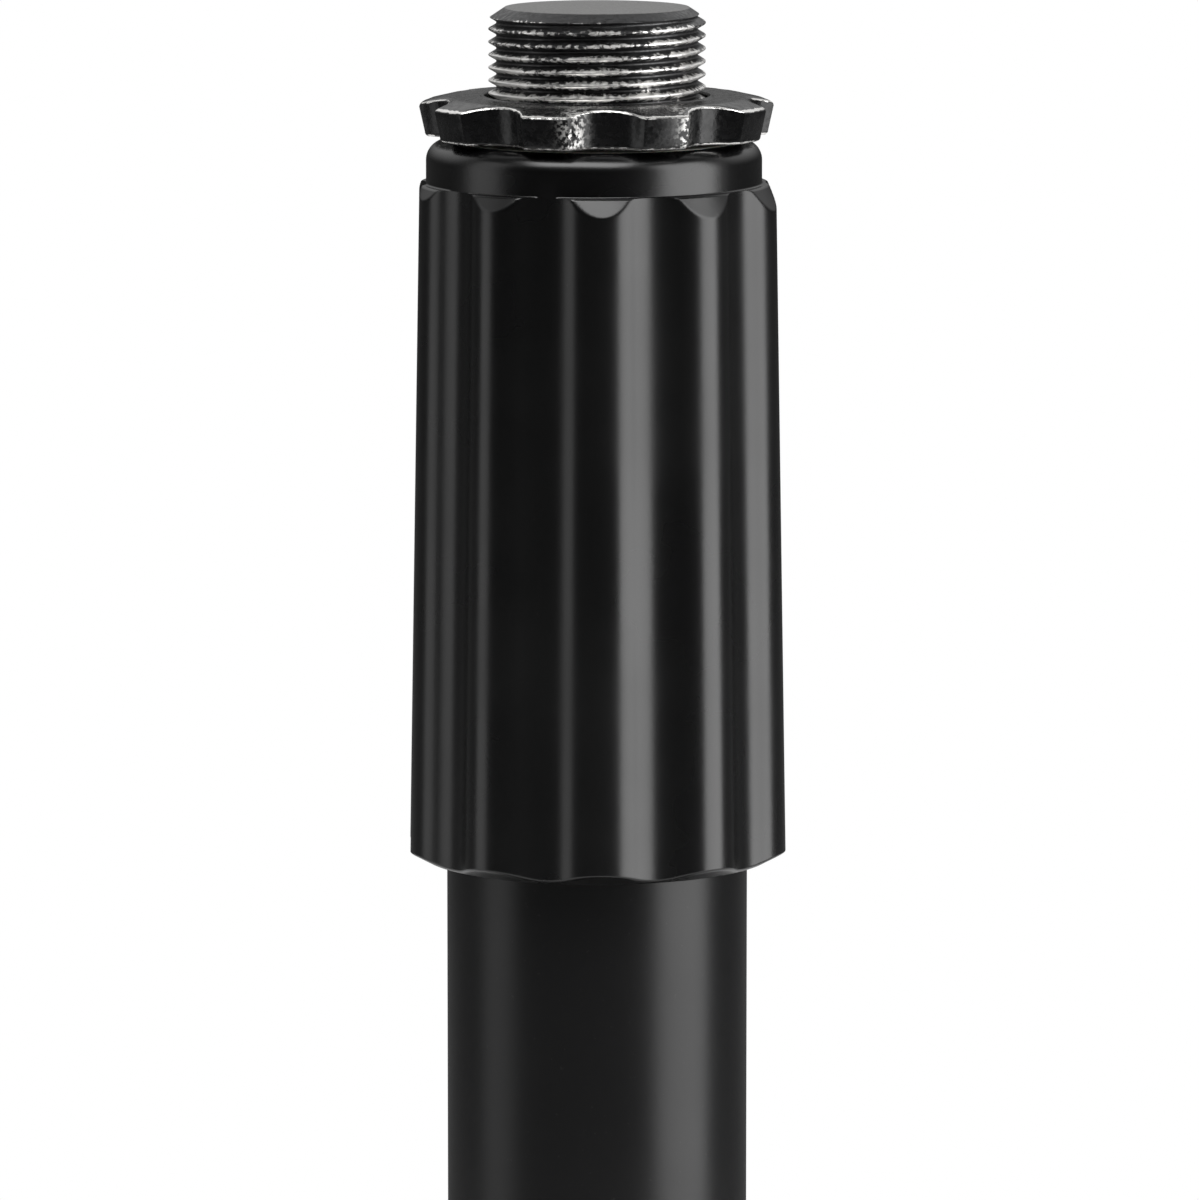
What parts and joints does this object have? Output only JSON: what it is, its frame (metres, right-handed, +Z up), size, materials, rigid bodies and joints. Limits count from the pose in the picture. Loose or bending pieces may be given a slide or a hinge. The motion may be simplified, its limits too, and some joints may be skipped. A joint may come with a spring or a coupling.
{
  "type": "desktop microphone stand",
  "caption": "Black desktop microphone stand: round weighted base, telescopic mast locked by a fluted twist clutch, and a threaded stud with a lobed lock ring.",
  "frame": {"origin": "centre of the base, on the surface that the feet stand on", "axes": "+Z up along the mast; -Y is the front, the side that the picture shows"},
  "size_m": [0.152, 0.152, 0.2288],
  "materials": {
    "base_paint": "fine-textured black powder coat on cast iron",
    "tube_paint": "satin black paint on steel",
    "grip_paint": "smooth semi-gloss black coat on a die-cast sleeve",
    "thread_steel": "blackened steel, worn bright on the crests",
    "ring_plate": "glossy black plating, bare metal along the edges",
    "bright_steel": "zinc-plated",
    "foot_rubber": "matt moulded",
    "nylon": "natural moulded nylon"
  },
  "bodies": {
    "base": {"base_casting": "base_paint", "base_foot_1": "foot_rubber", "base_foot_2": "foot_rubber", "base_foot_3": "foot_rubber", "base_foot_4": "foot_rubber", "base_bolt": "bright_steel", "base_spring_washer": "bright_steel", "base_flat_washer": "bright_steel", "lower_tube": "tube_paint", "lower_tube_plug": "bright_steel", "clutch_core": "bright_steel", "core_pin_1": "bright_steel", "core_pin_2": "bright_steel"},
    "clutch_feed": {"collet": "nylon", "clutch_washer": "bright_steel"},
    "grip": {"clutch_grip": "grip_paint"},
    "bush": {"guide_bush": "nylon"},
    "mast": {"upper_tube": "tube_paint", "thread_stud": "thread_steel", "stud_pin": "bright_steel"},
    "ring_carrier": {"ring_washer": "nylon"},
    "ring": {"lock_ring": "ring_plate"}
  },
  "joints": [
    {"name": "clutch_travel", "type": "slide", "parent": "base", "child": "clutch_feed", "axis": [0, 0, -1], "range_m": [0, 0.0005]},
    {"name": "grip_turn", "type": "hinge", "parent": "clutch_feed", "child": "grip", "pos_m": [0, 0, 0.19], "axis": [0, 0, -1], "range_deg": [0, 90]},
    {"name": "mast_height", "type": "slide", "parent": "base", "child": "bush", "axis": [0, 0, 1], "range_m": [0, 0.102]},
    {"name": "mast_swivel", "type": "hinge", "parent": "bush", "child": "mast", "pos_m": [0, 0, 0.15], "axis": [0, 0, 1], "continuous": true},
    {"name": "ring_climb", "type": "slide", "parent": "mast", "child": "ring_carrier", "axis": [0, 0, 1], "range_m": [0, 0.00565]},
    {"name": "ring_turn", "type": "hinge", "parent": "ring_carrier", "child": "ring", "pos_m": [0, 0, 0.2207], "axis": [0, 0, 1], "range_deg": [0, 2160]}
  ],
  "couplings": [
    {"joint": "clutch_travel", "follows": "grip_turn", "m_per_rad": 0.0003183},
    {"joint": "ring_climb", "follows": "ring_turn", "m_per_rad": 0.00014972}
  ]
}
